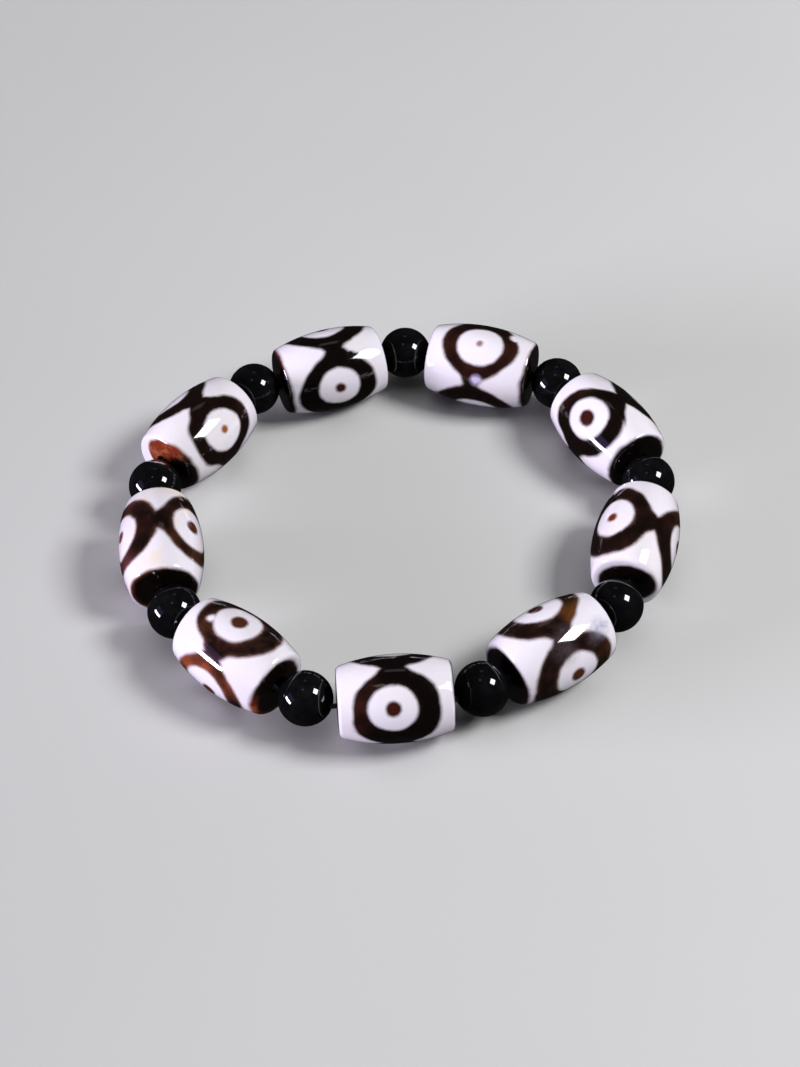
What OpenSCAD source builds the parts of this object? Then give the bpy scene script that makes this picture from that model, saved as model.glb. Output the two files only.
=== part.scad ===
// Bracelet of barrel-shaped dzi beads and small round beads, strung in turn on one elastic cord.
// It lies flat on a table. Millimetres, +Z up, front towards -Y.
// The origin is on the table, under the middle of the bracelet's outer box.

/* [Dzi beads] */
// Diameter of a dzi bead at its waist
dzi_d = 14; // [13:0.5:16]
// Length of a dzi bead, over its low domed ends
dzi_l = 18.4; // [17.6:0.2:24]
// Diameter that the bulging side would reach at the flat of a dzi bead's ends
dzi_end_d = 11; // [10:0.5:12]
// Radius of the shoulder where the side turns into the end
dzi_shoulder_r = 0.9; // [0.5:0.1:1.5]
// Height of the low dome on each end of a dzi bead
dzi_dome_h = 0.15; // [0.1:0.05:0.4]
// Diameter of the hole through a dzi bead
dzi_hole_d = 2.9; // [2.9:0.1:3.2]

/* [Round beads] */
// Diameter of a round bead
round_d = 8.8; // [8:0.2:9.6]
// Diameter of the hole through a round bead
round_hole_d = 1.2; // [1.2:0.1:1.8]
// How far a round bead sits outside the line between its neighbours' holes
round_set_out = 0.95; // [0.95:0.01:0.98]

/* [Holes] */
// Width of the bevel at each mouth of a hole
mouth_bevel = 0.3; // [0.1:0.05:0.4]

/* [Elastic cord] */
// Thickness of the cord
cord_d = 0.8; // [0.5:0.1:0.9]

/* [Hidden] */
$fn = 96;

// How the string lies, counterclockwise from the front as seen from above.
// Each row is one dzi bead and the round bead after it.
// Columns: heading of the dzi bead, heading of the step over the round bead, slack in that step.
LIE = [
    [  3,  26, 0.15],
    [ 34,  58, 0.6],
    [ 75,  91, 0.75],
    [123, 140, 0.25],
    [163, 179, 0.15],
    [198, 211, 0.2],
    [231, 267, 1.35],
    [276, 304, 0.45],
    [318, 338, 0.8],
];
COUNT = len(LIE);

// A cutter runs this far past the face that it cuts
PAST = 0.1;
// The cord bends this far outside each hole of a round bead
BEND_OUTSIDE = 0.05;
// A bend of the cord is a ball this much wider than the cord
BEND_SWELL = 0.04;

axis_z = dzi_d / 2;

// Outline of a dzi bead: x across its axis, y along it
end_y = dzi_l / 2 - dzi_dome_h;
bulge = (dzi_d - dzi_end_d) / 2;
bulge_r = (end_y * end_y + bulge * bulge) / (2 * bulge);
bulge_x = dzi_d / 2 - bulge_r;
shoulder_y = end_y - dzi_shoulder_r;
shoulder_angle = asin(shoulder_y / (bulge_r - dzi_shoulder_r));
shoulder_x = bulge_x + (bulge_r - dzi_shoulder_r) * cos(shoulder_angle);
side_y = bulge_r * sin(shoulder_angle);
dome_r = (shoulder_x * shoulder_x + dzi_dome_h * dzi_dome_h) / (2 * dzi_dome_h);

// Places along the string, each from a heading and a length
function aim(a) = [cos(a), sin(a)];
function right_of(v) = [v.y, -v.x];
function row(k) = LIE[k % COUNT];
function heading(k) = row(k)[0];
function step_over_round(k) = (round_d + row(k)[2]) * aim(row(k)[1]);
function step_to_next(k) = dzi_l / 2 * (aim(heading(k)) + aim(heading(k + 1))) + step_over_round(k);
function walked(k) = k == 0 ? [0, 0] : walked(k - 1) + step_to_next(k - 1);

// The walk ends almost where it began, and each step takes an equal share of the miss
share_of_miss = walked(COUNT) / COUNT;
function dzi_on_walk(k) = walked(k) - k * share_of_miss;
function mouth_out(k) = dzi_on_walk(k) + dzi_l / 2 * aim(heading(k));
function mouth_in(k) = dzi_on_walk(k % COUNT) - dzi_l / 2 * aim(heading(k));
function across(k) = mouth_in(k + 1) - mouth_out(k);
function round_aim(k) = across(k) / norm(across(k));
function round_on_walk(k) =
    (mouth_out(k) + mouth_in(k + 1)) / 2 + round_set_out * right_of(round_aim(k));

// How far a dzi bead reaches from its middle, in a direction a degrees off its waist
function dzi_reach(a) = a < shoulder_angle
    ? bulge_r + bulge_x * cos(a)
    : dzi_shoulder_r + shoulder_y * sin(a) + shoulder_x * cos(a);
function reach(v) = max([for (k = [0 : COUNT - 1]) max(
    dzi_on_walk(k) * v + dzi_reach(asin(abs(aim(heading(k)) * v))),
    round_on_walk(k) * v + round_d / 2)]);
middle = [reach([1, 0]) - reach([-1, 0]), reach([0, 1]) - reach([0, -1])] / 2;
function dzi_at(k) = dzi_on_walk(k) - middle;
function round_at(k) = round_on_walk(k) - middle;

// The cord leaves a round bead at its far mouth (side 1) and enters it at its near one (side -1)
function cord_bend(k, side) =
    round_at(k % COUNT) + side * (round_d / 2 + BEND_OUTSIDE) * round_aim(k % COUNT);

// Carries a shape made along Z to a place on the string, with its length along a heading
module lay(place, angle) {
    translate([place.x, place.y, axis_z]) rotate([0, 90, angle]) children();
}

// A hole along Z through a bead of the given length, bevelled at both mouths
module drill(hole_d, length) {
    cylinder(d = hole_d, h = length + 2 * PAST, center = true);
    for (side = [0, 1]) mirror([0, 0, side])
        translate([0, 0, length / 2 - mouth_bevel])
            cylinder(r1 = hole_d / 2, r2 = hole_d / 2 + mouth_bevel + PAST, h = mouth_bevel + PAST);
}

// Half the outline of a dzi bead: bulging side, round shoulders and low domed ends
module dzi_outline() {
    intersection() {
        union() {
            intersection() {
                translate([bulge_x, 0]) circle(r = bulge_r);
                translate([0, -side_y]) square([dzi_d, 2 * side_y]);
            }
            for (side = [-1, 1]) {
                translate([shoulder_x, side * shoulder_y]) circle(r = dzi_shoulder_r);
                intersection() {
                    translate([0, side * (dzi_l / 2 - dome_r)]) circle(r = dome_r);
                    translate([0, side * dzi_l / 4 - dzi_l / 4]) square([shoulder_x, dzi_l / 2]);
                }
            }
        }
        translate([0, -dzi_l]) square([dzi_d, 2 * dzi_l]);
    }
}

module dzi_bead(k) {
    color([0.93, 0.90, 0.90]) lay(dzi_at(k), heading(k)) difference() {
        rotate_extrude() dzi_outline();
        drill(dzi_hole_d, dzi_l);
    }
}

module round_bead(k) {
    half_hole = round_hole_d / 2;
    color([0.06, 0.06, 0.07]) lay(round_at(k), atan2(round_aim(k).y, round_aim(k).x)) difference() {
        sphere(d = round_d);
        drill(round_hole_d, 2 * sqrt(round_d * round_d / 4 - half_hole * half_hole));
    }
}

// One straight stretch of the cord, with a ball where it bends into the next
module cord_stretch(from, to) {
    run = to - from;
    lay(from, atan2(run.y, run.x)) {
        cylinder(d = cord_d, h = norm(run));
        sphere(d = cord_d + BEND_SWELL);
    }
}

module elastic_cord() {
    color([0.1, 0.1, 0.1]) union() for (k = [0 : COUNT - 1]) {
        cord_stretch(cord_bend(k, -1), cord_bend(k, 1));
        cord_stretch(cord_bend(k, 1), cord_bend(k + 1, -1));
    }
}

for (k = [0 : COUNT - 1]) {
    dzi_bead(k);
    round_bead(k);
}
elastic_cord();
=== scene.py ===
"""Looks of a bracelet of nine banded dzi beads and nine small black beads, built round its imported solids.

Sizes are metres, and millimetres where a name ends in _mm. Angles are degrees where a name ends in _deg.
The table of dzi beads is in millimetres and degrees. Each bead has its own directions: along is its hole,
from the bead before it to the bead after it, up is up, and left is towards the inside of the ring. A turn
is an angle round the hole: 0 is on top, 90 is on the left.
"""

import math
from typing import NamedTuple

import bmesh
import bpy
from bpy.props import FloatProperty, FloatVectorProperty, IntProperty, PointerProperty
from mathutils import Matrix, Vector


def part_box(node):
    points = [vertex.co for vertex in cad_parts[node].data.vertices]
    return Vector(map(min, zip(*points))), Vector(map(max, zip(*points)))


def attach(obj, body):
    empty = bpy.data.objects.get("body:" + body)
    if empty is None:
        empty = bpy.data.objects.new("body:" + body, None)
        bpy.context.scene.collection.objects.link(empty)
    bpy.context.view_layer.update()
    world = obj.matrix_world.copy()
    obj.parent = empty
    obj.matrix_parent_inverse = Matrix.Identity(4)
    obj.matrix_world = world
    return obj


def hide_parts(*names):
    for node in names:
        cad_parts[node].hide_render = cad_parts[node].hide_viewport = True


bl_info = {
    "name": "Dzi bead bracelet",
    "version": (1, 0, 0),
    "blender": (4, 5, 0),
    "location": "3D View > Sidebar > Bracelet",
    "description": "Builds the looks of a bracelet of banded agate beads and small black beads",
    "category": "Object",
}

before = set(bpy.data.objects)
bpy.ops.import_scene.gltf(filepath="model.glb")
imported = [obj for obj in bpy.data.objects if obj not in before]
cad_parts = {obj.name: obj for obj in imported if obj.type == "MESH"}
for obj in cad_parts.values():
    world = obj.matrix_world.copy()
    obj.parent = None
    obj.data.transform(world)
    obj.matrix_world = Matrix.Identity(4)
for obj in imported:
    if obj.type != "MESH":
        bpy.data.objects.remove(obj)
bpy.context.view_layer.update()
BODY = "root"
MM = 0.001


class Disc(NamedTuple):
    """White disc of an eye: its middle along the bead, its radius, and its height against its width."""

    along: float
    radius: float
    tall: float = 0.97


class Ring(NamedTuple):
    """Dark ring of an eye, a rounded octagon: its middle from the bead's middle and the eye's turn, its
    half sizes, and how far out its slanting sides are.

    Bias makes its far end fuller, skew turns it, and lean tilts its sides.
    """

    along: float
    across: float
    half_length: float
    half_height: float
    slant: float
    bias: float = 0.0
    skew: float = 0.0
    lean: float = 0.0


class Dot(NamedTuple):
    """Dot of an eye, from the middle of its disc."""

    along: float
    across: float
    radius: float
    tint: tuple


class Eye(NamedTuple):
    """One eye: the turn that it faces, and its white disc, dark ring and dot."""

    turn: float
    disc: Disc
    ring: Ring
    dot: Dot


class Neck(NamedTuple):
    """Where one ring runs into the next: its middle along the bead, half its width, and its flare."""

    along: float
    half_width: float
    flare: float


class Cap(NamedTuple):
    """Dark end: how far it reaches from the hole, over the shoulder, with one lobe and a pair of lobes.

    On one side it may be rusty, from its edge inwards for rust_depth.
    """

    reach: float
    lobe: float = 0.0
    lobe_turn: float = 0.0
    pair: float = 0.0
    pair_turn: float = 0.0
    rust: float = 0.0
    rust_turn: float = 0.0
    rust_depth: float = 1.0


class Patch(NamedTuple):
    """A round patch: thin dark that shows a tint, a streaky overlay, or white that runs out into the dark.
    Overlays are the stone's own dark and smudges, and painted haze of reflected lights.
    """

    turn: float
    along: float
    radius: float
    amount: float = 1.0
    tint: tuple = (0.0, 0.0, 0.0)


class Softbox(NamedTuple):
    """A soft light, as wide and high as its size, and so many watts.

    Azimuth 0 is behind the bracelet and 90 on its right.
    """

    name: str
    azimuth_deg: float
    elevation_deg: float
    distance: float
    size: tuple
    power: float
    tint: tuple
    mirrored: bool = True


class DziBead(NamedTuple):
    """How one dzi bead lies and how it is banded. Each neck follows the eye of its number.

    Cream is how warm its white is, thin how light its dark is, and fringe how light the dark's edges are.
    """

    heading: float
    eyes: tuple
    necks: tuple
    caps: tuple
    glows: tuple = ()
    # Streaky overlays: the stone's own dark and smudges, and painted reflections of lights
    veils_and_reflections: tuple = ()
    spurs: tuple = ()
    cream: float = 0.20
    thin: float = 0.10
    fringe: float = 0.30


# Colours of the dots
RUSSET = (0.160, 0.024, 0.009)
AMBER = (0.270, 0.085, 0.022)
HAZEL = (0.072, 0.022, 0.010)
UMBER = (0.036, 0.010, 0.007)
LIVER = (0.040, 0.0085, 0.0060)
ROSE = (0.170, 0.048, 0.048)
BLUSH = (0.290, 0.170, 0.150)

# Colours of the dark where it is thin
CHESTNUT = (0.030, 0.0088, 0.0062)
COCOA = (0.060, 0.0200, 0.0095)
GOLD = (0.115, 0.0410, 0.0100)
RUST = (0.260, 0.0620, 0.0300)
PLUM = (0.120, 0.0340, 0.0340)

# Colours of streaky overlays. Ash is a grey smudge in the white, partly painted haze of a reflected light;
# smoke is painted haze of a reflection on the dark; lavender is a painted reflection; soot is the stone's
# own dark
SMUDGE_AND_GLINT_HAZE = (0.400, 0.400, 0.520)
GLINT_HAZE = (0.075, 0.055, 0.065)
LAVENDER_REFLECTION = (0.560, 0.500, 0.740)
SOOT = (0.006, 0.004, 0.004)

# The third eye of each bead is on the side that the photograph doesn't show.
# Each bead's own heading is that of its solid, counterclockwise from the right as seen from above.
DZI_BEADS = (
    DziBead(
        heading=3,
        eyes=(
            Eye(
                -52,
                Disc(-0.6, 3.85),
                Ring(0.0, -0.75, 6.85, 6.95, 10.45, skew=0.2),
                Dot(0.05, -0.05, 1.25, LIVER),
            ),
            Eye(
                62,
                Disc(-0.1, 3.75),
                Ring(-0.15, -0.1, 6.7, 6.6, 10.15),
                Dot(0.05, 0.1, 1.1, LIVER),
            ),
            Eye(
                -177,
                Disc(-0.15, 3.9),
                Ring(0.1, 0.0, 6.6, 6.2, 9.6, bias=0.1, skew=0.2),
                Dot(0.1, 0.0, 1.15, HAZEL),
            ),
        ),
        necks=(Neck(-0.15, 2.05, 0.8), Neck(0.0, 1.6, 0.9), Neck(-0.1, 2.5, 1.15)),
        caps=(
            Cap(5.15, 0.35, 131),
            Cap(5.5, 0.2, 86),
        ),
        glows=(
            Patch(-78, -5.9, 3.0, 0.65, CHESTNUT),
            Patch(-45, -5.7, 3.2, 1.00, CHESTNUT),
            Patch(-22, -3.8, 2.4, 0.55, CHESTNUT),
        ),
        thin=0.05,
    ),
    DziBead(
        heading=34,
        eyes=(
            Eye(
                -86,
                Disc(0.05, 3.85, tall=1.02),
                Ring(-0.2, -0.5, 7.5, 7.2, 11.05, bias=-0.15, skew=0.25, lean=0.25),
                Dot(0.05, -0.2, 1.25, HAZEL),
            ),
            Eye(
                35,
                Disc(0.0, 4.05, tall=0.95),
                Ring(-0.2, 0.05, 7.4, 6.7, 9.9, skew=0.35),
                Dot(-0.3, 0.05, 1.25, LIVER),
            ),
            Eye(
                155,
                Disc(0.0, 3.95),
                Ring(0.0, 0.0, 6.8, 6.3, 9.6, bias=-0.1, skew=0.1),
                Dot(0.1, 0.0, 1.1, UMBER),
            ),
        ),
        necks=(Neck(-0.3, 1.8, 0.7), Neck(0.1, 1.6, 0.9), Neck(0.0, 1.7, 0.9)),
        caps=(
            Cap(5.3, 0.7, -122, 0.15, 85),
            Cap(5.1, 0.3, 84),
        ),
        glows=(
            Patch(-75, 6.6, 3.6, 0.60, COCOA),
            Patch(-52, 3.6, 2.2, 0.30, CHESTNUT),
            Patch(-4, 3.2, 2.8, 1.00, GOLD),
            Patch(8, 5.0, 2.4, 0.60, GOLD),
            Patch(20, 6.2, 2.2, 0.30, COCOA),
            Patch(3, -3.3, 2.2, 0.35, CHESTNUT),
        ),
        # Painted reflection: smoky haze round the highlight on the dark, and grey-blue haze on the white
        # beside it, which is partly the stone's own smudge
        veils_and_reflections=(
            Patch(-41, 6.4, 2.8, 0.80, SMUDGE_AND_GLINT_HAZE),
            Patch(-49, 4.4, 2.2, 0.60, GLINT_HAZE),
            Patch(-45, -1.2, 3.4, 0.55, GLINT_HAZE),
            Patch(-25, 0.2, 2.4, 0.60, GLINT_HAZE),
        ),
        thin=0.28,
        fringe=0.50,
    ),
    DziBead(
        heading=75,
        eyes=(
            Eye(
                -88,
                Disc(-0.1, 3.85),
                Ring(-0.55, 0.1, 7.45, 7.1, 9.7, bias=0.3, skew=-0.25),
                Dot(0.0, 0.2, 1.1, HAZEL),
            ),
            Eye(
                33,
                Disc(-0.5, 3.85, tall=0.91),
                Ring(-0.55, 0.4, 7.3, 6.7, 10.35, bias=-0.3, skew=0.15),
                Dot(-0.05, 0.2, 0.85, RUSSET),
            ),
            Eye(
                152,
                Disc(-0.2, 3.9),
                Ring(-0.3, 0.0, 6.8, 6.2, 9.6, bias=0.1, skew=0.15),
                Dot(0.05, 0.1, 1.05, UMBER),
            ),
        ),
        necks=(Neck(-0.7, 1.65, 0.75), Neck(-0.2, 1.6, 0.9), Neck(-0.3, 1.7, 0.9)),
        caps=(
            Cap(4.45, 0.4, -46, 0.4, -78),
            Cap(5.1, 0.15, 86),
        ),
        glows=(
            Patch(-68, 5.6, 4.0, 0.80, COCOA),
            Patch(-50, 1.0, 2.8, 0.50, CHESTNUT),
            Patch(6, -6.4, 2.8, 0.50, CHESTNUT),
            Patch(-4, 0.5, 2.6, 0.35, CHESTNUT),
            Patch(14, 4.6, 2.6, 0.40, CHESTNUT),
        ),
        thin=0.20,
        fringe=0.50,
    ),
    DziBead(
        heading=123,
        eyes=(
            Eye(
                -76,
                Disc(-0.25, 3.85),
                Ring(-0.15, 0.0, 6.8, 6.6, 9.7),
                Dot(0.0, 0.0, 1.1, UMBER),
            ),
            Eye(
                39,
                Disc(0.0, 3.75, tall=0.99),
                Ring(-0.1, 0.65, 6.5, 5.85, 9.7, bias=0.05, skew=0.2, lean=0.5),
                Dot(0.0, 0.15, 1.45, LIVER),
            ),
            Eye(
                169,
                Disc(0.0, 3.9),
                Ring(0.0, 0.0, 6.6, 6.2, 9.6, bias=0.1),
                Dot(0.05, 0.05, 1.2, HAZEL),
            ),
        ),
        necks=(Neck(-0.55, 1.6, 1.15), Neck(0.2, 1.7, 0.8), Neck(0.0, 1.7, 0.9)),
        caps=(
            Cap(5.8, 0.7, 108, 0.15, 12),
            Cap(5.1, 0.2, -7),
        ),
        glows=(
            Patch(14, 5.2, 3.4, 0.75, CHESTNUT),
            Patch(46, 6.5, 2.8, 0.55, CHESTNUT),
        ),
        thin=0.10,
    ),
    DziBead(
        heading=163,
        eyes=(
            Eye(
                15,
                Disc(-0.15, 4.05, tall=0.94),
                Ring(-0.15, -0.4, 6.75, 7.0, 9.2, bias=0.25, skew=0.05, lean=-0.1),
                Dot(0.05, -0.15, 0.55, BLUSH),
            ),
            Eye(
                136,
                Disc(-0.35, 3.8, tall=0.95),
                Ring(-0.05, -0.15, 6.95, 7.0, 9.8, bias=-0.1),
                Dot(0.05, 0.05, 1.1, UMBER),
            ),
            Eye(
                -107,
                Disc(0.1, 3.95),
                Ring(0.1, 0.0, 6.7, 6.2, 9.6, bias=0.1),
                Dot(0.05, 0.0, 1.0, HAZEL),
            ),
        ),
        necks=(Neck(0.25, 1.4, 0.4), Neck(0.0, 1.6, 0.9), Neck(0.1, 3.2, 0.65)),
        caps=(
            Cap(5.75, 0.45, 60, 0.2, 86),
            Cap(5.1, 0.35, -122),
        ),
        glows=(
            Patch(16, -5.6, 6.0, 0.85, CHESTNUT),
            Patch(16, 5.6, 6.0, 0.85, CHESTNUT),
            Patch(50, 0.0, 4.4, 0.90, CHESTNUT),
        ),
        # Painted reflection of a dim light: a lavender patch on the neck
        veils_and_reflections=(Patch(67.5, -0.65, 1.5, 1.20, LAVENDER_REFLECTION),),
        spurs=(Patch(-17, -5.75, 1.05),),
        thin=0.12,
        fringe=0.60,
    ),
    DziBead(
        heading=198,
        eyes=(
            Eye(
                -40,
                Disc(-0.15, 3.8),
                Ring(-0.35, -0.05, 7.45, 6.6, 9.6, bias=0.05, skew=-0.2),
                Dot(0.0, 0.1, 1.1, UMBER),
            ),
            Eye(
                74,
                Disc(0.2, 3.65, tall=0.98),
                Ring(0.45, 0.8, 7.05, 6.9, 9.75, bias=-0.3, skew=0.35),
                Dot(-0.1, 0.1, 0.85, LIVER),
            ),
            Eye(
                -163,
                Disc(0.0, 3.9),
                Ring(0.0, 0.0, 6.6, 6.2, 9.6, bias=0.1),
                Dot(0.0, 0.0, 1.1, HAZEL),
            ),
        ),
        necks=(Neck(-0.35, 1.75, 0.6), Neck(0.1, 1.6, 0.9), Neck(0.0, 1.7, 0.9)),
        caps=(
            Cap(5.1, 0.25, -99),
            Cap(6.1, 0.2, 141, 0.1, -81, rust=0.3, rust_turn=-20, rust_depth=1.0),
        ),
        veils_and_reflections=(
            Patch(32.0, -2.9, 1.3, 1.6, SOOT),
            Patch(33.4, -3.8, 0.9, 1.5, SOOT),
        ),
        thin=0.05,
        fringe=0.15,
    ),
    DziBead(
        heading=231,
        eyes=(
            Eye(
                -58,
                Disc(0.4, 3.75),
                Ring(0.3, -0.05, 7.0, 6.5, 9.7, bias=-0.05, skew=-0.1),
                Dot(0.0, 0.0, 1.1, UMBER),
            ),
            Eye(
                54,
                Disc(-0.25, 3.8, tall=0.95),
                Ring(-0.35, 0.0, 6.35, 5.5, 9.7, bias=0.3, skew=0.15, lean=0.1),
                Dot(-0.15, 0.05, 0.65, AMBER),
            ),
            Eye(
                170,
                Disc(0.0, 3.9),
                Ring(0.0, 0.0, 6.5, 6.2, 9.5, bias=0.1),
                Dot(0.0, 0.0, 1.1, HAZEL),
            ),
        ),
        necks=(Neck(-0.2, 1.9, 1.0), Neck(-0.15, 1.95, 0.85), Neck(0.1, 1.7, 0.9)),
        caps=(
            Cap(5.1, 0.4, -138),
            Cap(5.0, 2.2, 79, 0.5, -40, rust=1.0, rust_turn=-20, rust_depth=7.5),
        ),
        glows=(Patch(54, -6.0, 3.0, 0.45, CHESTNUT),),
        thin=0.18,
        fringe=0.30,
    ),
    DziBead(
        heading=276,
        eyes=(
            Eye(
                -64,
                Disc(-0.4, 4.0, tall=0.98),
                Ring(-0.5, 0.55, 6.45, 7.35, 10.45, bias=0.1, skew=-0.05),
                Dot(-0.4, -0.1, 1.05, ROSE),
            ),
            Eye(
                54,
                Disc(0.05, 4.05, tall=0.99),
                Ring(-0.5, 0.4, 7.15, 6.35, 9.6, bias=0.2, skew=-0.1, lean=-0.05),
                Dot(-0.2, -0.2, 1.2, HAZEL),
            ),
            Eye(
                173,
                Disc(0.0, 3.9),
                Ring(-0.2, 0.0, 6.6, 6.2, 9.6, bias=0.1),
                Dot(0.0, 0.0, 1.1, UMBER),
            ),
        ),
        necks=(Neck(-0.4, 1.8, 0.6), Neck(-0.1, 1.6, 0.9), Neck(-0.2, 1.7, 0.9)),
        caps=(
            Cap(5.1, 0.15, 179),
            Cap(5.3, 0.5, 0, 0.35, 90, rust=0.2, rust_turn=-75, rust_depth=1.1),
        ),
        glows=(
            Patch(-66, 5.9, 4.8, 0.90, PLUM),
            Patch(-42, -6.2, 3.2, 0.55, PLUM),
            Patch(-22, 0.4, 3.2, 0.50, CHESTNUT),
            Patch(62, 6.2, 4.6, 0.90, COCOA),
            Patch(20, 3.4, 2.8, 0.60, COCOA),
            Patch(20, -2.8, 3.0, 0.50, CHESTNUT),
        ),
        cream=1.00,
        thin=0.26,
        fringe=0.60,
    ),
    DziBead(
        heading=318,
        eyes=(
            Eye(
                -105,
                Disc(-0.45, 4.2, tall=1.0),
                Ring(-0.1, -0.2, 6.85, 6.55, 9.35),
                Dot(0.6, 0.0, 1.25, HAZEL),
            ),
            Eye(
                11,
                Disc(-0.35, 3.9, tall=1.0),
                Ring(0.0, 0.55, 7.3, 6.4, 10.35, bias=-0.4, skew=0.1, lean=-0.1),
                Dot(0.15, 0.15, 1.35, HAZEL),
            ),
            Eye(
                130,
                Disc(0.0, 3.9),
                Ring(0.0, 0.0, 6.8, 6.3, 9.6, bias=0.1),
                Dot(0.05, 0.0, 1.1, UMBER),
            ),
        ),
        necks=(Neck(-0.1, 1.8, 0.8), Neck(0.0, 1.6, 0.9), Neck(0.0, 1.7, 0.9)),
        caps=(
            Cap(5.1, 0.3, -162),
            Cap(5.4, 0.95, -115, 0.1, 8, rust=0.8, rust_turn=-145, rust_depth=1.8),
        ),
        glows=(
            Patch(-84, -4.6, 4.0, 0.90, RUST),
            Patch(-68, -0.6, 3.4, 0.90, RUST),
            Patch(-76, 4.6, 3.8, 0.50, RUST),
            Patch(-24, -4.4, 3.2, 0.80, COCOA),
            Patch(-24, 1.0, 3.0, 0.45, CHESTNUT),
            Patch(0, -6.8, 2.2, 0.50, CHESTNUT),
        ),
        spurs=(Patch(-5, -4.30, 0.66),),
        thin=0.30,
        fringe=0.65,
    ),
)

COUNT = len(DZI_BEADS)

# Where the photograph was taken from
CAMERA_ELEVATION_DEG = 47.91
CAMERA_ROLL_DEG = -1.32
CAMERA_DISTANCE = 0.4425
CAMERA_TARGET = Vector((0.00007, 0.0036, 0.0))
CAMERA_LENS_MM = 88.77
SENSOR_MM = 36

# The glows are weak, and show only as reflections in polished stone
WHITE = (1.0, 1.0, 1.0)
SOFTBOXES = (
    Softbox("key_light", 97, 48, 0.8, (0.29, 0.25), 6.1, WHITE),
    Softbox("low_light", -105, 9, 1.6, (0.84, 0.23), 37.0, (0.92, 0.87, 1.0)),
    Softbox("fill_light", 0, 88, 0.9, (0.9, 0.9), 2.5, WHITE, mirrored=False),
    Softbox("side_glow", -107, 23, 1.6, (1.0, 0.60), 0.95, (0.50, 0.36, 1.0)),
    Softbox("top_glow", -115, 81, 1.2, (0.14, 0.14), 0.045, WHITE),
    Softbox("back_glow", 0, 53, 1.2, (0.22, 0.16), 0.030, WHITE),
)

# How softly shapes of the banding run into each other
CORNER_MM = 3.0
FILLET_MM = 0.7
NECK_END_MM = 0.8
DISC_FILLET_MM = 0.5
DISC_RIM_MM = 0.25
# Half the width of the soft edge between white and dark
EDGE_MM = 0.40
NECK_HALF_HEIGHT_MM = 3.2
# A neck's sides lean, so the distance across them is this much of the distance along the bead
NECK_LEAN = 0.75
# A skew of 1 moves a ring's slanting side by a millimetre where along times across is this much
SKEW_AREA_MM2 = 20.0
# A bias of 1 moves it by a millimetre this far along
BIAS_REACH_MM = 6.6
# Down the side of a bead, a cap's reach counts this much of the distance
SIDE_SHARE = 0.5
# A cap is kept off the other end by more than a bead's length
OFF_MM = 40.0
# Shares of a bead's wander: the fraying of its bands, and how a cap's edge creeps and frays
BAND_FRAY = 0.35
CAP_CREEP = 1.2
CAP_FRAY = 0.6

STONE_IOR = 1.54
# Where the noises of the stones are read: millimetres per bead along the first axis, then along the others
AGATE_PLACE = (31.0, 17.0, -9.0)
ONYX_PLACE = (13.0, -5.0, 7.0)
# Noises of one bead that must not look alike are read this far apart
CROSS_APART = (0.0, 50.0, 0.0)
STREAK_APART = (0.0, 0.0, 80.0)
LAYERS_APART = (4.0, 4.0, 4.0)
# Sockets of a Mix node for colours
MIX_FACTOR, MIX_FIRST, MIX_SECOND, MIX_RESULT = 0, 6, 7, 2

# Steps in the outlines of the beads
END_STEPS = 8
SIDE_STEPS = 36
ROUND_STEPS = 48
HOLE_WALL_CUTS = 5
# Rounding that is allowed: a share of a hole's radius at its wall, and metres at its rim
WALL_PLAY = 0.01
RIM_PLAY = 1e-7


class Wire:
    """A value on its way through a node tree. Arithmetic on it adds the Math nodes."""

    def __init__(self, nodes, socket):
        self.nodes = nodes
        self.socket = socket

    def math(self, operation, *others):
        inputs = dict(enumerate((self, *others)))
        return self.nodes.wire("ShaderNodeMath", {"operation": operation}, inputs)

    def __add__(self, other):
        return self.math("ADD", other)

    __radd__ = __add__

    def __sub__(self, other):
        return self.math("SUBTRACT", other)

    def __rsub__(self, other):
        return (self * -1.0) + other

    def __mul__(self, other):
        return self.math("MULTIPLY", other)

    __rmul__ = __mul__

    def __neg__(self):
        return self * -1.0

    def __abs__(self):
        return self.math("ABSOLUTE")

    def root(self):
        return self.math("SQRT")

    def cosine_from(self, turn_deg):
        return (self - math.radians(turn_deg)).math("COSINE")

    def least(self, other, soft=0.0):
        return self.math("SMOOTH_MIN", other, soft) if soft else self.math("MINIMUM", other)

    def most(self, other, soft=0.0):
        return self.math("SMOOTH_MAX", other, soft) if soft else self.math("MAXIMUM", other)

    def rise(self, low, high, start=0.0, end=1.0):
        """Goes smoothly from start to end as the value goes from low to high."""
        return self.nodes.wire(
            "ShaderNodeMapRange",
            {"interpolation_type": "SMOOTHSTEP", "clamp": True},
            {"Value": self, "From Min": low, "From Max": high, "To Min": start, "To Max": end},
        )


def least_of(wires, soft=0.0):
    first, *others = wires
    for other in others:
        first = first.least(other, soft)
    return first


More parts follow.
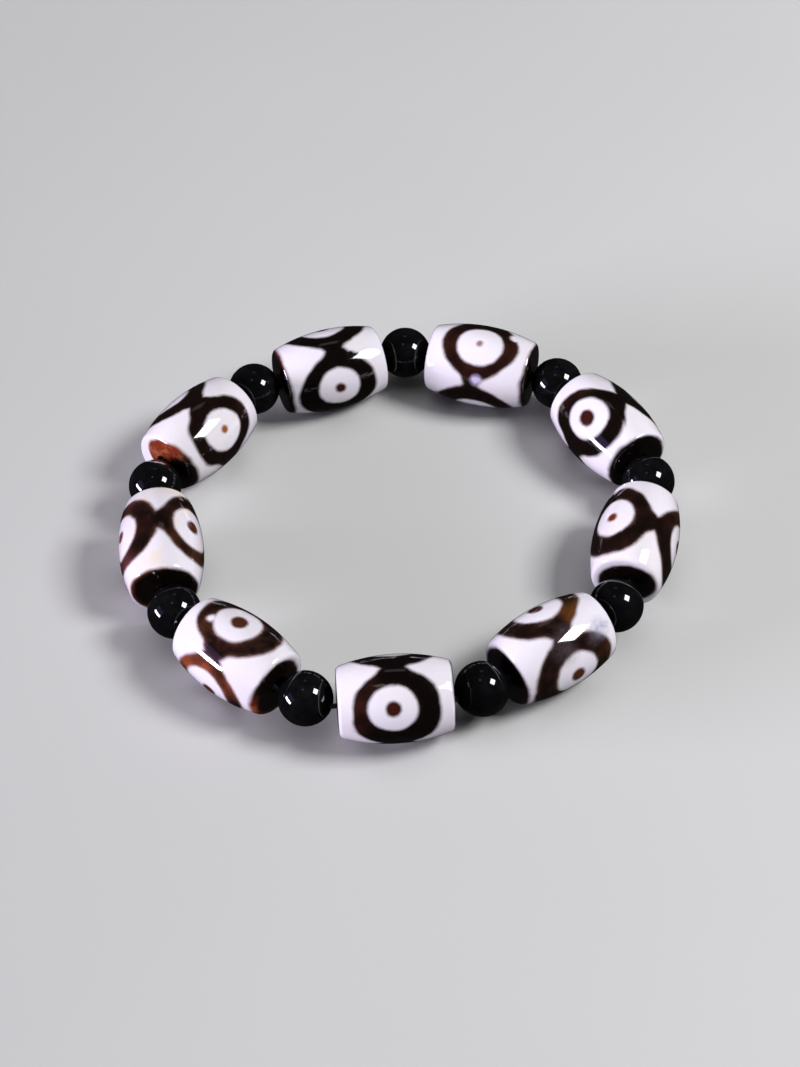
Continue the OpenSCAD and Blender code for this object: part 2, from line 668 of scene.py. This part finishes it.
class Nodes:
    """A node tree that is made from expressions."""

    def __init__(self, tree):
        self.tree = tree
        tree.nodes.clear()

    def node(self, kind, settings, inputs):
        """Adds a node: its settings first, then a value or a link for each socket that is named."""
        node = self.tree.nodes.new(kind)
        for name, value in settings.items():
            if name == "stops":
                self.set_stops(node.color_ramp, value)
            else:
                setattr(node, name, value)
        for name, value in inputs.items():
            self.feed(node.inputs[name], value)
        return node

    def wire(self, kind, settings, inputs, output=0):
        return Wire(self, self.node(kind, settings, inputs).outputs[output])

    def set_stops(self, ramp, stops):
        while len(ramp.elements) < len(stops):
            ramp.elements.new(1.0)
        for element, (position, colour) in zip(ramp.elements, stops):
            element.position = position
            element.color = (*colour, 1.0)

    def feed(self, socket, value):
        if isinstance(value, Wire):
            self.tree.links.new(value.socket, socket)
        elif isinstance(value, bpy.types.NodeSocket):
            self.tree.links.new(value, socket)
        elif socket.type == "RGBA" and len(value) == 3:
            socket.default_value = (*value, 1.0)
        else:
            socket.default_value = value

    def place(self, centre, heading_deg):
        """The bead's own directions in millimetres, from its middle: along, left and up."""
        spot = self.wire("ShaderNodeTexCoord", {}, {}, "Object")
        lie = {
            "Vector": spot,
            "Location": centre,
            "Rotation": (0.0, 0.0, math.radians(heading_deg)),
            "Scale": (MM, MM, MM),
        }
        return self.wire("ShaderNodeMapping", {"vector_type": "TEXTURE"}, lie)

    def parts(self, vector):
        node = self.node("ShaderNodeSeparateXYZ", {}, {0: vector})
        return tuple(Wire(self, node.outputs[axis]) for axis in range(3))

    def shifted(self, vector, by):
        return self.wire("ShaderNodeVectorMath", {"operation": "ADD"}, {0: vector, 1: by})

    def own_stone(self, vector, number, place):
        """Gives each bead its own part of the noises, so that no two look alike."""
        step, *others = place
        return self.shifted(vector, (step * number, *others))

    def noise(self, vector, per_unit, detail=2.0, roughness=0.5):
        inputs = {"Vector": vector, "Scale": per_unit, "Detail": detail, "Roughness": roughness}
        return self.wire("ShaderNodeTexNoise", {}, inputs)

    def specks(self, vector, per_unit):
        """Distance to the nearest of many scattered points."""
        inputs = {"Vector": vector, "Scale": per_unit}
        return self.wire("ShaderNodeTexVoronoi", {"feature": "F1"}, inputs)

    def mix(self, factor, first, second):
        """Goes from the first colour to the second as the factor goes from 0 to 1."""
        inputs = {MIX_FACTOR: factor, MIX_FIRST: first, MIX_SECOND: second}
        return self.wire("ShaderNodeMix", {"data_type": "RGBA", "clamp_factor": True}, inputs, MIX_RESULT)

    def ramp(self, value, stops):
        return self.wire("ShaderNodeValToRGB", {"stops": stops}, {0: value})

    def bump(self, height, depth):
        return self.wire("ShaderNodeBump", {}, {"Height": height, "Distance": depth, "Strength": 1.0})


class Finish(Nodes):
    """One material, made of a single shader."""

    def __init__(self, name, **constants):
        self.material = bpy.data.materials.new(name)
        self.material.use_nodes = True
        super().__init__(self.material.node_tree)
        self.surface = self.node("ShaderNodeBsdfPrincipled", {}, {})
        self.node("ShaderNodeOutputMaterial", {}, {"Surface": self.surface.outputs[0]})
        self.shine(**constants)

    def shine(self, **inputs):
        """Feeds the shader's own sockets."""
        for name, value in inputs.items():
            self.feed(self.surface.inputs[name.replace("_", " ")], value)


class Spot(NamedTuple):
    """Where a point of a bead is: millimetres along it, and the angle round it in radians."""

    along: Wire
    turn: Wire
    waist_mm: float

    def across(self, turn_deg):
        """Millimetres round the bead from a turn."""
        return (self.turn - math.radians(turn_deg)).math("WRAP", math.pi, -math.pi) * self.waist_mm

    def away(self, turn_deg, along, across=0.0, tall=1.0):
        """Millimetres over the surface from a place on it."""
        lift = self.along - along
        side = (self.across(turn_deg) - across) * (1.0 / tall)
        return (lift * lift + side * side).root()


def ring_field(spot, eye):
    """How far a point is outside the ring of an eye, in millimetres."""
    ring = eye.ring
    along = spot.along - ring.along
    across = spot.across(eye.turn) - ring.across
    turned = along * across * (1.0 / SKEW_AREA_MM2)
    sides = abs(along) - ring.half_length - turned * ring.lean
    tips = abs(across) - ring.half_height
    slant = abs(along) + abs(across) - ring.slant
    if ring.bias:
        slant = slant - along * (ring.bias / BIAS_REACH_MM)
    if ring.skew:
        slant = slant - turned * ring.skew
    return sides.most(slant * math.sqrt(0.5), CORNER_MM).most(tips, CORNER_MM)


def neck_field(spot, eye, next_eye, neck):
    """How far a point is outside the waisted neck halfway between two eyes, in millimetres."""
    halfway = eye.turn + (next_eye.turn - eye.turn) % 360 / 2
    across = abs(spot.across(halfway))
    side = abs(spot.along - neck.along) - across * neck.flare - neck.half_width
    return (side * NECK_LEAN).most(across - NECK_HALF_HEIGHT_MM, NECK_END_MM)


def disc_field(spot, eye):
    """How far a point is outside the white disc of an eye, in millimetres."""
    return spot.away(eye.turn, eye.disc.along, tall=eye.disc.tall) - eye.disc.radius


def cap_field(spot, cap, side, over, ragged):
    """How far a point is outside one dark end, in millimetres."""
    reach = ragged + cap.reach
    if cap.lobe:
        reach = reach + spot.turn.cosine_from(cap.lobe_turn) * cap.lobe
    if cap.pair:
        reach = reach + ((spot.turn - math.radians(cap.pair_turn)) * 2.0).math("COSINE") * cap.pair
    other_end = (spot.along * side).rise(0.0, 1.0, start=OFF_MM, end=0.0)
    return over - reach + other_end


class DziAgate(Finish):
    """Polished agate of one dzi bead: milky white, three dark-ringed eyes, and a dark cap at each end."""

    def __init__(self, number, bead, centre, sizes, colours):
        super().__init__(f"dzi_agate_{number}", IOR=STONE_IOR, Coat_IOR=STONE_IOR)
        self.bead = bead
        self.colours = colours
        place = self.place(centre, bead.heading)
        along, left, up = self.parts(place)
        self.spot = Spot(along, left.math("ARCTAN2", up), sizes.diameter / MM / 2)

        self.own = self.own_stone(place, number, AGATE_PLACE)
        self.cloud = self.noise(self.own, 0.55, detail=3.0, roughness=0.55)
        self.streak = self.noise(self.shifted(self.own, STREAK_APART), 1.4, detail=3.0, roughness=0.6)
        self.creep = self.noise(self.own, 0.4, detail=1.0) - 0.5
        self.wander = sizes.wander / MM
        self.fray = (self.noise(self.own, 1.9) - 0.5) * (self.wander * BAND_FRAY)
        self.dyed = self.crept()

        from_hole = (left * left + up * up).root()
        self.caps = self.dark_ends(from_hole, (sizes.length / 2 - sizes.dome) / MM)
        self.depth = -self.banding().least(self.caps)
        self.shine(Base_Color=self.with_veils_and_reflections(self.with_dots(self.stone())))
        self.polish(sizes.polish)

    def crept(self):
        """The dye crept unevenly, so every outline of the bands wanders a little."""
        spot = self.spot
        cross_creep = self.noise(self.shifted(self.own, CROSS_APART), 0.4, detail=1.0) - 0.5
        sway = self.creep * self.wander + self.fray
        swing = cross_creep * self.wander + self.fray
        return Spot(spot.along + sway, spot.turn + swing * (1.0 / spot.waist_mm), spot.waist_mm)

    def banding(self):
        """How far a point is outside the rings and necks, where their discs are left white."""
        eyes = self.bead.eyes
        rings = least_of([ring_field(self.dyed, eye) for eye in eyes])
        pairs = zip(eyes, eyes[1:] + eyes[:1], self.bead.necks)
        necks = [neck_field(self.dyed, eye, next_eye, neck) for eye, next_eye, neck in pairs]
        whites = [disc_field(self.dyed, eye) for eye in eyes]
        whites += [self.dyed.away(spur.turn, spur.along) - spur.radius for spur in self.bead.spurs]
        bands = least_of([rings, *necks], FILLET_MM)
        return bands.most(-least_of(whites, DISC_FILLET_MM), DISC_RIM_MM)

    def dark_ends(self, from_hole, end_along):
        """How far a point is outside the caps, measured from the hole, over the end and down the side."""
        over = from_hole + (end_along - abs(self.spot.along)) * SIDE_SHARE
        ragged = self.creep * (self.wander * CAP_CREEP) + self.fray * CAP_FRAY
        near, far = self.bead.caps
        near_field = cap_field(self.spot, near, -1, over, ragged)
        return near_field.least(cap_field(self.spot, far, 1, over, ragged))

    def stone(self):
        """Milky stone, and dye that has a soft edge."""
        dye = self.rusted(self.glowing(self.dye()))
        return self.mix(self.depth.rise(-EDGE_MM, EDGE_MM), self.milk(), dye)

    def milk(self):
        """Milky stone with cream clouds, and layers that hardly show."""
        colours = self.colours
        haze = self.noise(self.own, 0.16, detail=3.0, roughness=0.55)
        layers = self.noise(self.shifted(self.own, LAYERS_APART), 1.1, detail=4.0, roughness=0.65)
        creamy = haze.rise(0.44, 0.66, start=0.0, end=self.bead.cream)
        shaded = layers.rise(0.45, 0.75, start=0.0, end=0.12)
        return self.mix(shaded, self.mix(creamy, colours.milk, colours.cream), colours.milk_shade)

    def dye(self):
        """Nearly black where the dye is deep, and brown where it thins out at its edges."""
        colours, bead = self.colours, self.bead
        thin_edge = self.depth.rise(-0.1, 1.0, start=bead.fringe, end=0.0)
        thin_edge = thin_edge * self.streak.rise(0.3, 0.7, start=0.7, end=1.15)
        thin_cloud = self.cloud.rise(0.3, 0.7, start=bead.thin * 0.6, end=bead.thin * 1.4)
        thin_cloud = thin_cloud * self.caps.rise(-0.3, 0.5, start=0.3, end=1.0)
        stops = (
            (0.0, colours.band_deep),
            (0.3, colours.band),
            (0.6, colours.band_thin),
            (1.0, colours.band_glow),
        )
        return self.ramp(thin_edge + thin_cloud, stops)

    def glowing(self, dye):
        """Lets a tint through where the dye of a band is thin."""
        off_caps = (self.caps - 0.2).rise(0.0, 0.6)
        patchy = self.cloud.rise(0.3, 0.65, start=0.72, end=1.12)
        shallow = self.depth.rise(0.2, 1.7, start=1.2, end=0.6)
        for glow in self.bead.glows:
            seen = self.spot.away(glow.turn, glow.along).rise(0.0, glow.radius, start=glow.amount, end=0.0)
            dye = self.mix(seen * patchy * shallow * off_caps, dye, glow.tint)
        return dye

    def rusted(self, dye):
        """Rusts the caps that have a rusty side."""
        for side, cap in zip((-1, 1), self.bead.caps):
            if cap.rust:
                pale = self.cloud.rise(0.46, 0.64, start=0.0, end=0.8)
                rusty = self.mix(pale, self.colours.rust, self.colours.rust_pale)
                near_end = (self.spot.along * side).rise(6.0, 8.0)
                towards = self.spot.turn.cosine_from(cap.rust_turn).rise(0.1, 0.75)
                shallow = self.depth.rise(cap.rust_depth * 0.35, cap.rust_depth, start=cap.rust, end=0.0)
                uneven = self.streak.rise(0.3, 0.6, start=0.85, end=1.0)
                dye = self.mix(towards * near_end * shallow * uneven, dye, rusty)
        return dye

    def with_dots(self, stone):
        """Puts the dot in the middle of each eye."""
        for eye in self.bead.eyes:
            dot = eye.dot
            away = self.dyed.away(eye.turn, eye.disc.along + dot.along, dot.across) - dot.radius
            stone = self.mix(away.rise(-EDGE_MM * 0.8, EDGE_MM, start=1.0, end=0.0), stone, dot.tint)
        return stone

    def with_veils_and_reflections(self, stone):
        """Draws streaky overlays over stone and bands alike: the stone's own dark and smudges, and painted
        haze of reflected lights.
        """
        streaky = self.streak.rise(0.25, 0.75, start=0.5, end=1.5)
        for overlay in self.bead.veils_and_reflections:
            seen = self.spot.away(overlay.turn, overlay.along).rise(0.0, overlay.radius, start=overlay.amount, end=0.0)
            stone = self.mix(seen * streaky, stone, overlay.tint)
        return stone

    def polish(self, roughness):
        """Hand polishing left long waves, faint smears and a few pits."""
        pits = self.specks(self.own, 0.9).rise(0.02, 0.05)
        waves = self.noise(self.own, 0.22, detail=1.0)
        smears = self.noise(self.own, 0.8, detail=4.0, roughness=0.7)
        self.shine(
            Coat_Weight=0.6,
            Coat_Roughness=0.03,
            Roughness=smears.rise(0.35, 0.8, start=roughness, end=roughness * 2.2) + (1.0 - pits) * 0.2,
            Normal=self.bump(waves + self.streak * 0.012 + pits * 0.05, 0.00006),
        )


def black_onyx(number, centre, heading_deg, colours):
    """Polished black stone, with faint smoky clouds and a few fine scuffs in the gloss."""
    finish = Finish(f"black_onyx_{number}", IOR=STONE_IOR)
    own = finish.own_stone(finish.place(centre, heading_deg), number, ONYX_PLACE)
    smoke = finish.noise(own, 0.5, detail=4.0, roughness=0.6)
    scuffs = finish.noise(own, 1.6, detail=5.0, roughness=0.75)
    waves = finish.noise(own, 0.3, detail=1.0)
    pits = finish.specks(own, 1.1).rise(0.02, 0.045)
    finish.shine(
        Base_Color=finish.mix(smoke.rise(0.4, 0.75), colours.black, colours.smoke),
        Roughness=scuffs.rise(0.4, 0.85, start=0.03, end=0.11) + (1.0 - pits) * 0.25,
        Normal=finish.bump(waves + pits * 0.04, 0.00003),
    )
    return finish.material


def elastic(colours):
    """Stretch cord of bundled black rubber threads with a satin skin."""
    finish = Finish("elastic_rubber", IOR=1.5)
    spot = finish.wire("ShaderNodeTexCoord", {}, {}, "Object")
    threads = finish.noise(spot, 4000.0, detail=3.0, roughness=0.6)
    finish.shine(
        Base_Color=finish.mix(threads.rise(0.35, 0.7), colours.cord, colours.cord_worn),
        Roughness=threads.rise(0.3, 0.7, start=0.42, end=0.6),
        Normal=finish.bump(threads, 0.00004),
    )
    return finish.material


def pale_floor(colour):
    """Matt pale surface with a barely visible unevenness."""
    finish = Finish("pale_floor", Roughness=0.85)
    shade = finish.noise(finish.wire("ShaderNodeTexCoord", {}, {}, "Object"), 9.0, detail=3.0)
    darker = tuple(0.97 * part for part in colour)
    finish.shine(Base_Color=finish.mix(shade.rise(0.3, 0.7), colour, darker))
    return finish.material


def studio_sky(stage):
    """Even light all round. Polished stone mirrors a darker room, and the camera sees a pale one."""
    world = bpy.data.worlds.new("studio")
    world.use_nodes = True
    nodes = Nodes(world.node_tree)
    seen = nodes.wire("ShaderNodeLightPath", {}, {}, "Is Camera Ray")
    mirrored = nodes.wire("ShaderNodeLightPath", {}, {}, "Is Glossy Ray")
    strength = seen * stage.backdrop + mirrored * stage.room + (1.0 - seen.most(mirrored)) * stage.sky
    sky = nodes.node("ShaderNodeBackground", {}, {"Color": (1.0, 1.0, 1.0), "Strength": strength})
    nodes.node("ShaderNodeOutputWorld", {}, {"Surface": sky.outputs[0]})
    return world


def swept(shape, vertex, centre, angle, steps):
    """Carries a vertex round a centre in the XY plane, and returns the vertex at the arc's end."""
    made = bmesh.ops.spin(shape, geom=[vertex], cent=centre, axis=(0, 0, 1), angle=angle, steps=steps)
    return next(e for e in made["geom_last"] if isinstance(e, bmesh.types.BMVert))


def hole_rims(shape, hole_radius):
    """The two circles of edges where a hole along X comes out."""
    on_wall = {v for v in shape.verts if math.hypot(v.co.y, v.co.z) < hole_radius * (1 + WALL_PLAY)}
    reach = max(v.co.x for v in on_wall)
    on_rim = {v for v in on_wall if reach - abs(v.co.x) < RIM_PLAY}
    return [e for e in shape.edges if on_rim.issuperset(e.verts)]


def turned_bead(name, outline, sizes, centre, heading_deg, material):
    """A drilled bead. The outline runs from mouth to mouth in the XY plane, with the hole along X."""
    shape = bmesh.new()
    first, last = outline(shape)
    wall = shape.edges.new((last, first))
    bmesh.ops.subdivide_edges(shape, edges=[wall], cuts=HOLE_WALL_CUTS)
    bmesh.ops.spin(
        shape,
        geom=shape.verts[:] + shape.edges[:],
        cent=(0, 0, 0),
        axis=(1, 0, 0),
        angle=math.tau,
        steps=sizes.around,
        use_merge=True,
    )
    bmesh.ops.bevel(
        shape,
        geom=hole_rims(shape, sizes.hole / 2),
        offset=sizes.mouth,
        affect="EDGES",
        segments=4,
        profile=0.5,
        material=-1,
        clamp_overlap=True,
    )
    bmesh.ops.recalc_face_normals(shape, faces=shape.faces)
    for face in shape.faces:
        face.smooth = True
    lie = Matrix.Translation(centre) @ Matrix.Rotation(math.radians(heading_deg), 4, "Z")
    bmesh.ops.transform(shape, matrix=lie, verts=shape.verts)
    mesh = bpy.data.meshes.new(name)
    shape.to_mesh(mesh)
    shape.free()
    mesh.materials.append(material)
    piece = bpy.data.objects.new(name, mesh)
    bpy.context.collection.objects.link(piece)
    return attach(piece, BODY)


def dzi_outline(sizes):
    """Makes half the outline of a dzi bead: low domed ends, round shoulders and a bulging side."""
    end = sizes.length / 2 - sizes.dome
    bulge = (sizes.diameter - sizes.end_diameter) / 2
    bulge_radius = (end * end + bulge * bulge) / (2 * bulge)
    bulge_centre = sizes.diameter / 2 - bulge_radius
    shoulder_along = end - sizes.shoulder
    shoulder_angle = math.asin(shoulder_along / (bulge_radius - sizes.shoulder))
    shoulder_out = bulge_centre + (bulge_radius - sizes.shoulder) * math.cos(shoulder_angle)
    dome_radius = (shoulder_out * shoulder_out + sizes.dome * sizes.dome) / (2 * sizes.dome)
    mouth_angle = math.asin(sizes.hole / 2 / dome_radius)
    rim_angle = math.asin(shoulder_out / dome_radius)
    dome_centre = sizes.length / 2 - dome_radius

    def outline(shape):
        mouth_along = dome_centre + dome_radius * math.cos(mouth_angle)
        first = shape.verts.new((-mouth_along, sizes.hole / 2, 0))
        at = swept(shape, first, (-dome_centre, 0, 0), mouth_angle - rim_angle, END_STEPS)
        at = swept(shape, at, (-shoulder_along, shoulder_out, 0), shoulder_angle - math.pi / 2, END_STEPS)
        at = swept(shape, at, (0, bulge_centre, 0), -2 * shoulder_angle, SIDE_STEPS)
        at = swept(shape, at, (shoulder_along, shoulder_out, 0), shoulder_angle - math.pi / 2, END_STEPS)
        at = swept(shape, at, (dome_centre, 0, 0), mouth_angle - rim_angle, END_STEPS)
        return first, at

    return outline


def round_outline(sizes):
    """Makes half the outline of a round bead."""
    mouth_angle = math.asin(sizes.hole / sizes.diameter)

    def outline(shape):
        mouth_along = sizes.diameter / 2 * math.cos(mouth_angle)
        first = shape.verts.new((-mouth_along, sizes.hole / 2, 0))
        return first, swept(shape, first, (0, 0, 0), 2 * mouth_angle - math.pi, ROUND_STEPS)

    return outline


def middle(node):
    low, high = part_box(node)
    return (low + high) / 2


def dzi_mouth(number, side, length):
    """Where the hole of a dzi bead comes out: at its far end on side 1, and at its near end on side -1."""
    heading = math.radians(DZI_BEADS[number - 1].heading)
    along = Vector((math.cos(heading), math.sin(heading), 0))
    return middle(f"dzi_bead_{number}") + side * length / 2 * along


def step_over_round(number, dzi_length):
    """Way from the mouth before a round bead to the mouth after it."""
    before = dzi_mouth(number, 1, dzi_length)
    after = dzi_mouth(number % COUNT + 1, -1, dzi_length)
    return after - before


def softbox(light, strength):
    """A soft area light that faces the bracelet."""
    azimuth, elevation = math.radians(light.azimuth_deg), math.radians(light.elevation_deg)
    towards = Vector((
        math.sin(azimuth) * math.cos(elevation),
        math.cos(azimuth) * math.cos(elevation),
        math.sin(elevation),
    ))
    data = bpy.data.lights.new(light.name, "AREA")
    data.shape = "RECTANGLE"
    data.size, data.size_y = light.size
    data.energy = light.power * strength
    data.color = light.tint
    lamp = bpy.data.objects.new(light.name, data)
    lamp.location = towards * light.distance
    lamp.rotation_euler = towards.to_track_quat("Z", "Y").to_euler()
    lamp.visible_glossy = light.mirrored
    bpy.context.collection.objects.link(lamp)
    return lamp


def photo_camera():
    """The camera that sees the bracelet as the photograph does."""
    elevation = math.radians(CAMERA_ELEVATION_DEG)
    back = Vector((0, -math.cos(elevation), math.sin(elevation)))
    tilt = Matrix.Rotation(math.pi / 2 - elevation, 4, "X")
    roll = Matrix.Rotation(math.radians(CAMERA_ROLL_DEG), 4, back)
    data = bpy.data.cameras.new("photo_camera")
    data.lens = CAMERA_LENS_MM
    data.sensor_width = SENSOR_MM
    data.clip_start = 0.01
    camera = bpy.data.objects.new("photo_camera", data)
    camera.matrix_world = Matrix.Translation(CAMERA_TARGET + back * CAMERA_DISTANCE) @ roll @ tilt
    bpy.context.collection.objects.link(camera)
    bpy.context.scene.camera = camera
    return camera


def length_mm(name, description, default):
    return FloatProperty(name=name, description=description, default=default * MM, unit="LENGTH")


def level(name, description, default):
    return FloatProperty(name=name, description=description, default=default, min=0)


class DziSizes(bpy.types.PropertyGroup):
    """Sizes of a dzi bead."""

    diameter: length_mm("Diameter", "Thickness of a bead at its waist", 14)
    length: length_mm("Length", "Length of a bead over its domed ends", 18.4)
    end_diameter: length_mm("End diameter", "Diameter that the bulging side would reach at the ends", 11)
    shoulder: length_mm("Shoulder", "Radius where the side turns into the end", 0.9)
    dome: length_mm("Dome", "Height of the low dome on each end", 0.15)
    hole: length_mm("Hole", "Diameter of the hole", 2.9)
    mouth: length_mm("Mouth", "Width of the rounding at each mouth of the hole", 0.3)
    wander: length_mm("Wander", "How far the banding's outlines wander", 0.5)
    polish: FloatProperty(
        name="Polish",
        description="Roughness of the polished stone",
        default=0.055,
        subtype="FACTOR",
        min=0,
        max=1,
    )
    around: IntProperty(name="Facets", description="Facets round a bead", default=128, min=16)


class RoundSizes(bpy.types.PropertyGroup):
    """Sizes of a round bead."""

    diameter: length_mm("Diameter", "Diameter of a bead", 8.8)
    hole: length_mm("Hole", "Diameter of the hole", 1.2)
    mouth: length_mm("Mouth", "Width of the rounding at each mouth of the hole", 0.2)
    around: IntProperty(name="Facets", description="Facets round a bead", default=96, min=16)


def colour(name, description, default):
    return FloatVectorProperty(
        name=name, description=description, default=default, subtype="COLOR", size=3, min=0, max=1
    )


class Colours(bpy.types.PropertyGroup):
    """Colours of the stones and the cord."""

    milk: colour("Milk", "White of the agate", (0.80, 0.760, 0.850))
    cream: colour("Cream", "Warm clouds in the white", (0.80, 0.70, 0.64))
    milk_shade: colour("Milk shade", "Fainter layers in the white", (0.66, 0.59, 0.68))
    band_deep: colour("Band deep", "Thickest part of the dark bands", (0.0020, 0.0014, 0.0012))
    band: colour("Band", "Dark bands", (0.010, 0.0046, 0.0036))
    band_thin: colour("Band thin", "Where the bands are thin", (0.040, 0.0175, 0.0135))
    band_glow: colour("Band glow", "Where light passes through the bands", (0.150, 0.060, 0.045))
    rust: colour("Rust", "Rusty side of a dark end", (0.210, 0.032, 0.012))
    rust_pale: colour("Pale rust", "Paler streaks in the rust", (0.400, 0.120, 0.058))
    black: colour("Black", "Round beads", (0.0025, 0.0025, 0.003))
    smoke: colour("Smoke", "Clouds in the round beads", (0.006, 0.006, 0.007))
    cord: colour("Cord", "Elastic cord", (0.012, 0.012, 0.013))
    cord_worn: colour("Cord worn", "Raised threads of the cord", (0.03, 0.03, 0.032))


class Stage(bpy.types.PropertyGroup):
    """What the bracelet stands on and the light on it."""

    floor: colour("Floor", "Pale floor", (0.54, 0.54, 0.54))
    floor_reach: length_mm("Reach", "Half the floor's width", 4000)
    light: level("Light", "Strength of the softboxes", 1.0)
    sky: level("Sky", "Even light all round", 0.03)
    room: level("Room", "The room that polished stone mirrors", 0.012)
    backdrop: level("Backdrop", "What shows past the floor", 0.75)


class BraceletSettings(bpy.types.PropertyGroup):
    """Everything about the bracelet that a user would change."""

    dzi: PointerProperty(type=DziSizes)
    rounds: PointerProperty(type=RoundSizes)
    colours: PointerProperty(type=Colours)
    stage: PointerProperty(type=Stage)


class BRACELET_OT_dzi_beads(bpy.types.Operator):
    """Make the nine banded dzi beads"""

    bl_idname = "bracelet.dzi_beads"
    bl_label = "Dzi beads"

    def execute(self, context):
        settings = context.scene.bracelet
        sizes = settings.dzi
        outline = dzi_outline(sizes)
        for number, bead in enumerate(DZI_BEADS, start=1):
            node = f"dzi_bead_{number}"
            centre = middle(node)
            stone = DziAgate(number, bead, centre, sizes, settings.colours).material
            piece = turned_bead(f"{node}_agate", outline, sizes, centre, bead.heading, stone)
            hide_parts(node)
        return {"FINISHED"}


class BRACELET_OT_round_beads(bpy.types.Operator):
    """Make the nine small black beads"""

    bl_idname = "bracelet.round_beads"
    bl_label = "Round beads"

    def execute(self, context):
        settings = context.scene.bracelet
        sizes = settings.rounds
        outline = round_outline(sizes)
        for number in range(1, COUNT + 1):
            node = f"round_bead_{number}"
            centre = middle(node)
            step = step_over_round(number, settings.dzi.length)
            heading_deg = math.degrees(math.atan2(step.y, step.x))
            stone = black_onyx(number, centre, heading_deg, settings.colours)
            piece = turned_bead(f"{node}_onyx", outline, sizes, centre, heading_deg, stone)
            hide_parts(node)
        return {"FINISHED"}


class BRACELET_OT_elastic_cord(bpy.types.Operator):
    """Give the cord inside the beads its rubber"""

    bl_idname = "bracelet.elastic_cord"
    bl_label = "Elastic cord"

    def execute(self, context):
        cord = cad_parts["elastic_cord"]
        rubber = elastic(context.scene.bracelet.colours)
        if not cord.material_slots:
            raise RuntimeError("the cord's mesh has no material slot")
        for slot in cord.material_slots:
            slot.material = rubber
        return {"FINISHED"}


class BRACELET_OT_stage(bpy.types.Operator):
    """Make the pale floor, the studio light and the camera"""

    bl_idname = "bracelet.stage"
    bl_label = "Stage"

    def execute(self, context):
        stage = context.scene.bracelet.stage
        shape = bmesh.new()
        bmesh.ops.create_grid(shape, x_segments=1, y_segments=1, size=stage.floor_reach)
        mesh = bpy.data.meshes.new("floor")
        shape.to_mesh(mesh)
        shape.free()
        mesh.materials.append(pale_floor(tuple(stage.floor)))
        floor = bpy.data.objects.new("floor", mesh)
        floor.visible_glossy = False
        context.collection.objects.link(floor)

        for light in SOFTBOXES:
            softbox(light, stage.light)
        context.scene.world = studio_sky(stage)
        context.scene.view_settings.view_transform = "Standard"
        photo_camera()
        return {"FINISHED"}


class BRACELET_PT_parts(bpy.types.Panel):
    """Lists the bracelet's parts in the sidebar"""

    bl_idname = "BRACELET_PT_parts"
    bl_label = "Bracelet"
    bl_space_type = "VIEW_3D"
    bl_region_type = "UI"
    bl_category = "Bracelet"

    def draw(self, context):
        settings = context.scene.bracelet
        groups = (
            (BRACELET_OT_dzi_beads, settings.dzi),
            (BRACELET_OT_round_beads, settings.rounds),
            (BRACELET_OT_elastic_cord, settings.colours),
            (BRACELET_OT_stage, settings.stage),
        )
        for operator, values in groups:
            box = self.layout.box()
            box.operator(operator.bl_idname)
            for name in values.__annotations__:
                box.prop(values, name)


CLASSES = (
    DziSizes,
    RoundSizes,
    Colours,
    Stage,
    BraceletSettings,
    BRACELET_OT_dzi_beads,
    BRACELET_OT_round_beads,
    BRACELET_OT_elastic_cord,
    BRACELET_OT_stage,
    BRACELET_PT_parts,
)


def register():
    for each in CLASSES:
        bpy.utils.register_class(each)
    bpy.types.Scene.bracelet = PointerProperty(type=BraceletSettings)


def unregister():
    del bpy.types.Scene.bracelet
    for each in reversed(CLASSES):
        bpy.utils.unregister_class(each)


def main():
    register()
    bpy.ops.bracelet.stage()
    bpy.ops.bracelet.dzi_beads()
    bpy.ops.bracelet.round_beads()
    bpy.ops.bracelet.elastic_cord()


if __name__ == "__main__":
    main()
